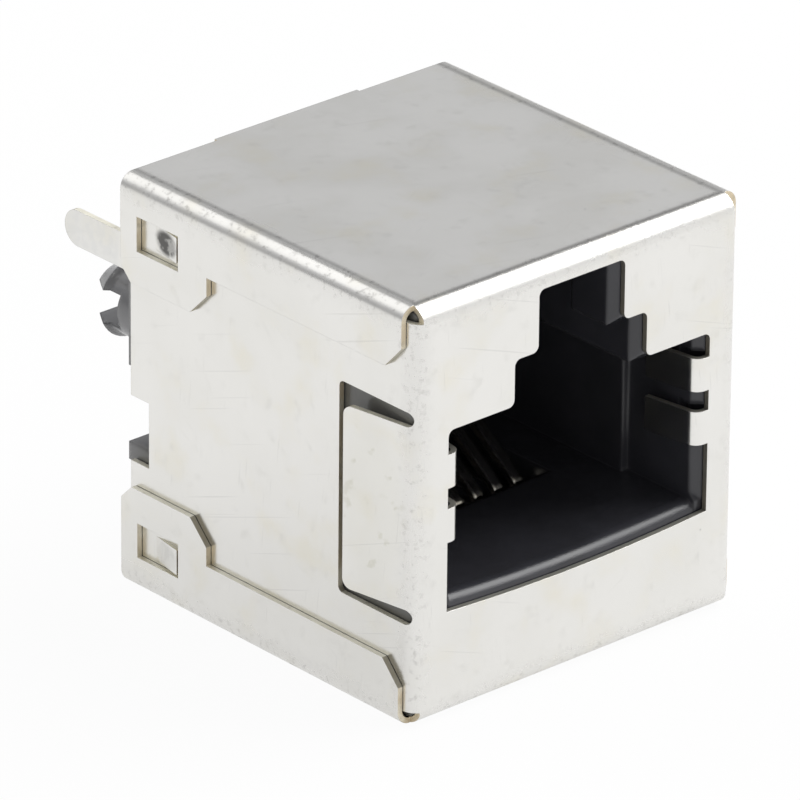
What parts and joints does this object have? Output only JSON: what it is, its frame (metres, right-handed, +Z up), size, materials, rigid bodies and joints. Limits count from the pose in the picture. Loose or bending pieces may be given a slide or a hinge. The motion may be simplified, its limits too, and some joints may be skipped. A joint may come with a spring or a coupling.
{
  "type": "shielded modular jack, board mount, vertical entry",
  "caption": "Vertical board-mount modular jack: a folded, plated shield round a black moulded housing, with a stepped plug port, spring contacts, locating pegs and ground tabs.",
  "frame": {"origin": "on the circuit board's face, in the middle of the jack's footprint, on the plug's centreline", "axes": "+Y into the board, against which the jack seats; the plug goes in along +Y; +X to the right seen from the plug side; +Z up, towards the side of the plug's latch, with the jack lying on its side"},
  "size_m": [0.0172, 0.0202, 0.0172],
  "materials": {
    "shield_metal": "bright plated sheet, lightly scuffed, bare cut edges",
    "housing_plastic": "fine satin moulded black plastic",
    "contact_metal": "bright plated spring bronze"
  },
  "bodies": {
    "root": {"shield": "shield_metal", "housing": "housing_plastic", "contact_carrier": "housing_plastic", "contact_1": "contact_metal", "contact_2": "contact_metal", "contact_3": "contact_metal", "contact_4": "contact_metal", "contact_5": "contact_metal", "contact_6": "contact_metal", "contact_7": "contact_metal", "contact_8": "contact_metal"}
  },
  "joints": []
}
